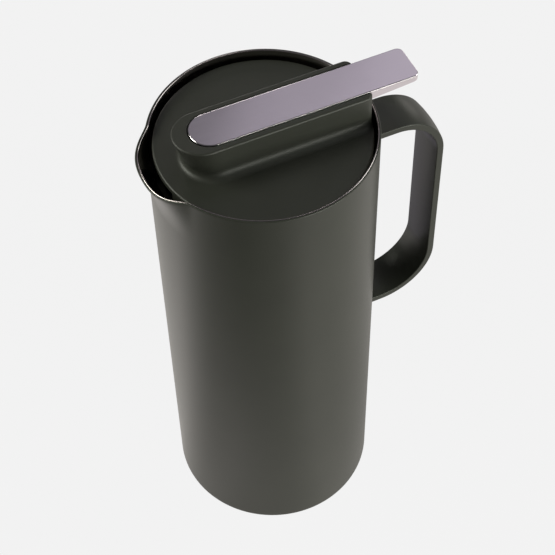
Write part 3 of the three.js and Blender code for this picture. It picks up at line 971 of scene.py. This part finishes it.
def gasket_ring():
    """The soft ring that seals the plug in the vessel, with two rounded lips."""
    inner, outer = plug_radius + clearance, gasket_high.y
    low, high = gasket_low.z, gasket_high.z
    neck = outer - gasket_lip
    lips = []
    for share in np.linspace(0, 1, lip_steps + 1):
        out = gasket_lip * math.sin(2 * math.pi * share) ** 2
        lips.append((neck + out, low + share * (high - low)))
    made = mesh_object("gasket_ring", turned([(inner, low), *lips, (inner, high)]))
    finished(made, "lid", silicone, "lid_gasket")


def spring_coil():
    """The coil spring between the valve's head and the divider, which shortens as the valve lifts."""
    radius = spring_high.y - spring_wire
    low, high = spring_low.z + spring_wire, spring_high.z - spring_wire
    shares = np.linspace(0, 1, curl_points * spring_curls + 1)
    angles = 2 * math.pi * spring_curls * shares
    heights = low + (high - low) * shares
    middle = np.stack([radius * np.cos(angles), radius * np.sin(angles), heights], 1)
    section = np.radians(np.linspace(0, 360, wire_points, endpoint=False))
    upward = np.array([0, 0, 1])
    rings = [middle[:1]]
    for place, angle in zip(middle, angles):
        outward = np.array([math.cos(angle), math.sin(angle), 0])
        circle = np.outer(np.cos(section), outward) + np.outer(np.sin(section), upward)
        rings.append(place + spring_wire * circle)
    rings.append(middle[-1:])
    made = mesh_object("spring_coil", skin(rings))
    finished(made, "lid", bare_steel, "valve_spring")
    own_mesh(made)


def dress_solids():
    """Gives every solid that stays in view its finish by its slot in the record."""
    by_slot = {
        "powder_coat": powder_coat,
        "bare_steel": bare_steel,
        "lever_metal": lever_metal,
        "cover_plastic": cover_plastic,
        "inner_plastic": inner_plastic,
        "silicone": silicone,
        "foam": foam,
        "solder": solder,
    }
    for part in frame["record"]["subparts"]:
        for slot in frame["nodes"][part["node"]].material_slots:
            slot.material = by_slot[part["material_slot"]]


def shade(brightness, tint=(1, 1, 1)):
    """A tint at one brightness, or a grey."""
    return tuple(brightness * part for part in tint)


def gradient(tree, kind, place, **mapping):
    """A gradient of one kind over a mapped place."""
    mapped = add_node(tree, "ShaderNodeMapping", Vector=place, **mapping).outputs["Vector"]
    made = add_node(tree, "ShaderNodeTexGradient", {"gradient_type": kind}, Vector=mapped)
    return made.outputs["Fac"]


def direction_ramp(tree, place, stops):
    """A colour by the direction from the jug, from stops of direction, brightness and tint."""
    first = stops[0][0]
    turn = gradient(tree, "RADIAL", place, Rotation=(0, 0, math.radians(-90 - first)))
    ramp = add_node(tree, "ShaderNodeValToRGB", Fac=turn)
    steps = ramp.color_ramp.elements
    for direction, brightness, tint in stops[1:]:
        steps.new((direction - first) / 360).color = (*shade(brightness, tint), 1)
    steps[0].color = steps[-1].color = (*shade(*stops[0][1:]), 1)
    return ramp.outputs["Color"]


def floor_pool(tree, place, middle, radius):
    """A round pool on the floor, full in its middle."""
    x, y = (-part / radius for part in middle)
    scale = (1 / radius, 1 / radius, 1)
    return gradient(tree, "SPHERICAL", place, Location=(x, y, 0), Scale=scale)


def pale_floor():
    """A wide floor, evenly pale to the camera, which lights the jug more from some sides than others."""
    material, tree, shader, place = new_finish("pale_floor")
    glow = direction_ramp(tree, place, floor_glow)
    # Pools mixed into the glow: a painted pool of light in front and a painted shadow by the foot
    for middle, radius, brightness in lit_and_shaded_pools:
        glow = mixed(tree, floor_pool(tree, place, middle, radius), glow, shade(brightness, warm))
    dark, light = shade(floor_pale - floor_cloud), shade(floor_pale + floor_cloud)
    pale = clouded(tree, noise(tree, place, floor_cloud_size), dark, light)
    seen = add_node(tree, "ShaderNodeLightPath").outputs["Is Camera Ray"]
    tree.links.new(mixed(tree, seen, glow, pale), shader.inputs["Emission Color"])
    shader.inputs["Emission Strength"].default_value = 1.0
    shader.inputs["Base Color"].default_value = (*shade(0), 1)
    shader.inputs["Specular IOR Level"].default_value = 0.0
    low, high = (-floor_reach, -floor_reach, -floor_depth), (floor_reach, floor_reach, 0)
    floor = mesh_object("floor", block(low, high))
    floor.data.materials.append(material)


def soft_light(name, direction, height, size, power, tint):
    """A soft light that faces the jug from a direction on the floor and a height, both in degrees."""
    lamp = bpy.data.lights.new(name, "AREA")
    lamp.shape = "RECTANGLE"
    lamp.size, lamp.size_y = size
    lamp.energy = power
    lamp.color = tint
    made = bpy.data.objects.new(name, lamp)
    made.visible_camera = False
    bpy.context.scene.collection.objects.link(made)
    turn = Matrix.Rotation(math.radians(direction), 4, "Z")
    tilt = Matrix.Rotation(math.radians(90 - height), 4, "X")
    back = Matrix.Translation((0, 0, light_distance))
    made.matrix_world = Matrix.Translation(light_target) @ turn @ tilt @ back


def studio():
    """Soft lights round the jug, and a dim pale world."""
    world = bpy.data.worlds.new("studio")
    world.use_nodes = True
    bpy.context.scene.world = world
    tree = world.node_tree
    background = tree.nodes["Background"]
    seen = add_node(tree, "ShaderNodeLightPath").outputs["Is Camera Ray"]
    tree.links.new(mixed(tree, seen, shade(sky_glow), shade(floor_pale)), background.inputs["Color"])
    for light in lights:
        soft_light(*light)
    bpy.context.scene.view_settings.view_transform = "Standard"


def photo_camera():
    """The camera at the photograph's viewing angle."""
    lens = bpy.data.cameras.new("camera")
    lens.lens = camera_lens
    lens.sensor_width = camera_sensor
    camera = bpy.data.objects.new("camera", lens)
    bpy.context.scene.collection.objects.link(camera)
    turn = Matrix.Rotation(math.radians(-camera_heading), 4, "Z")
    tilt = Matrix.Rotation(math.radians(90 - camera_pitch), 4, "X")
    roll = Matrix.Rotation(math.radians(-camera_roll), 4, "Z")
    camera.matrix_world = Matrix.Translation(camera_place) @ turn @ tilt @ roll
    bpy.context.scene.camera = camera


photo_camera()
studio()
pale_floor()
body_shell()
steel_liner()
foot_pad()
strap_handle()
cover_shell()
lever_bar()
plug_cup()
gasket_ring()
spring_coil()
dress_solids()
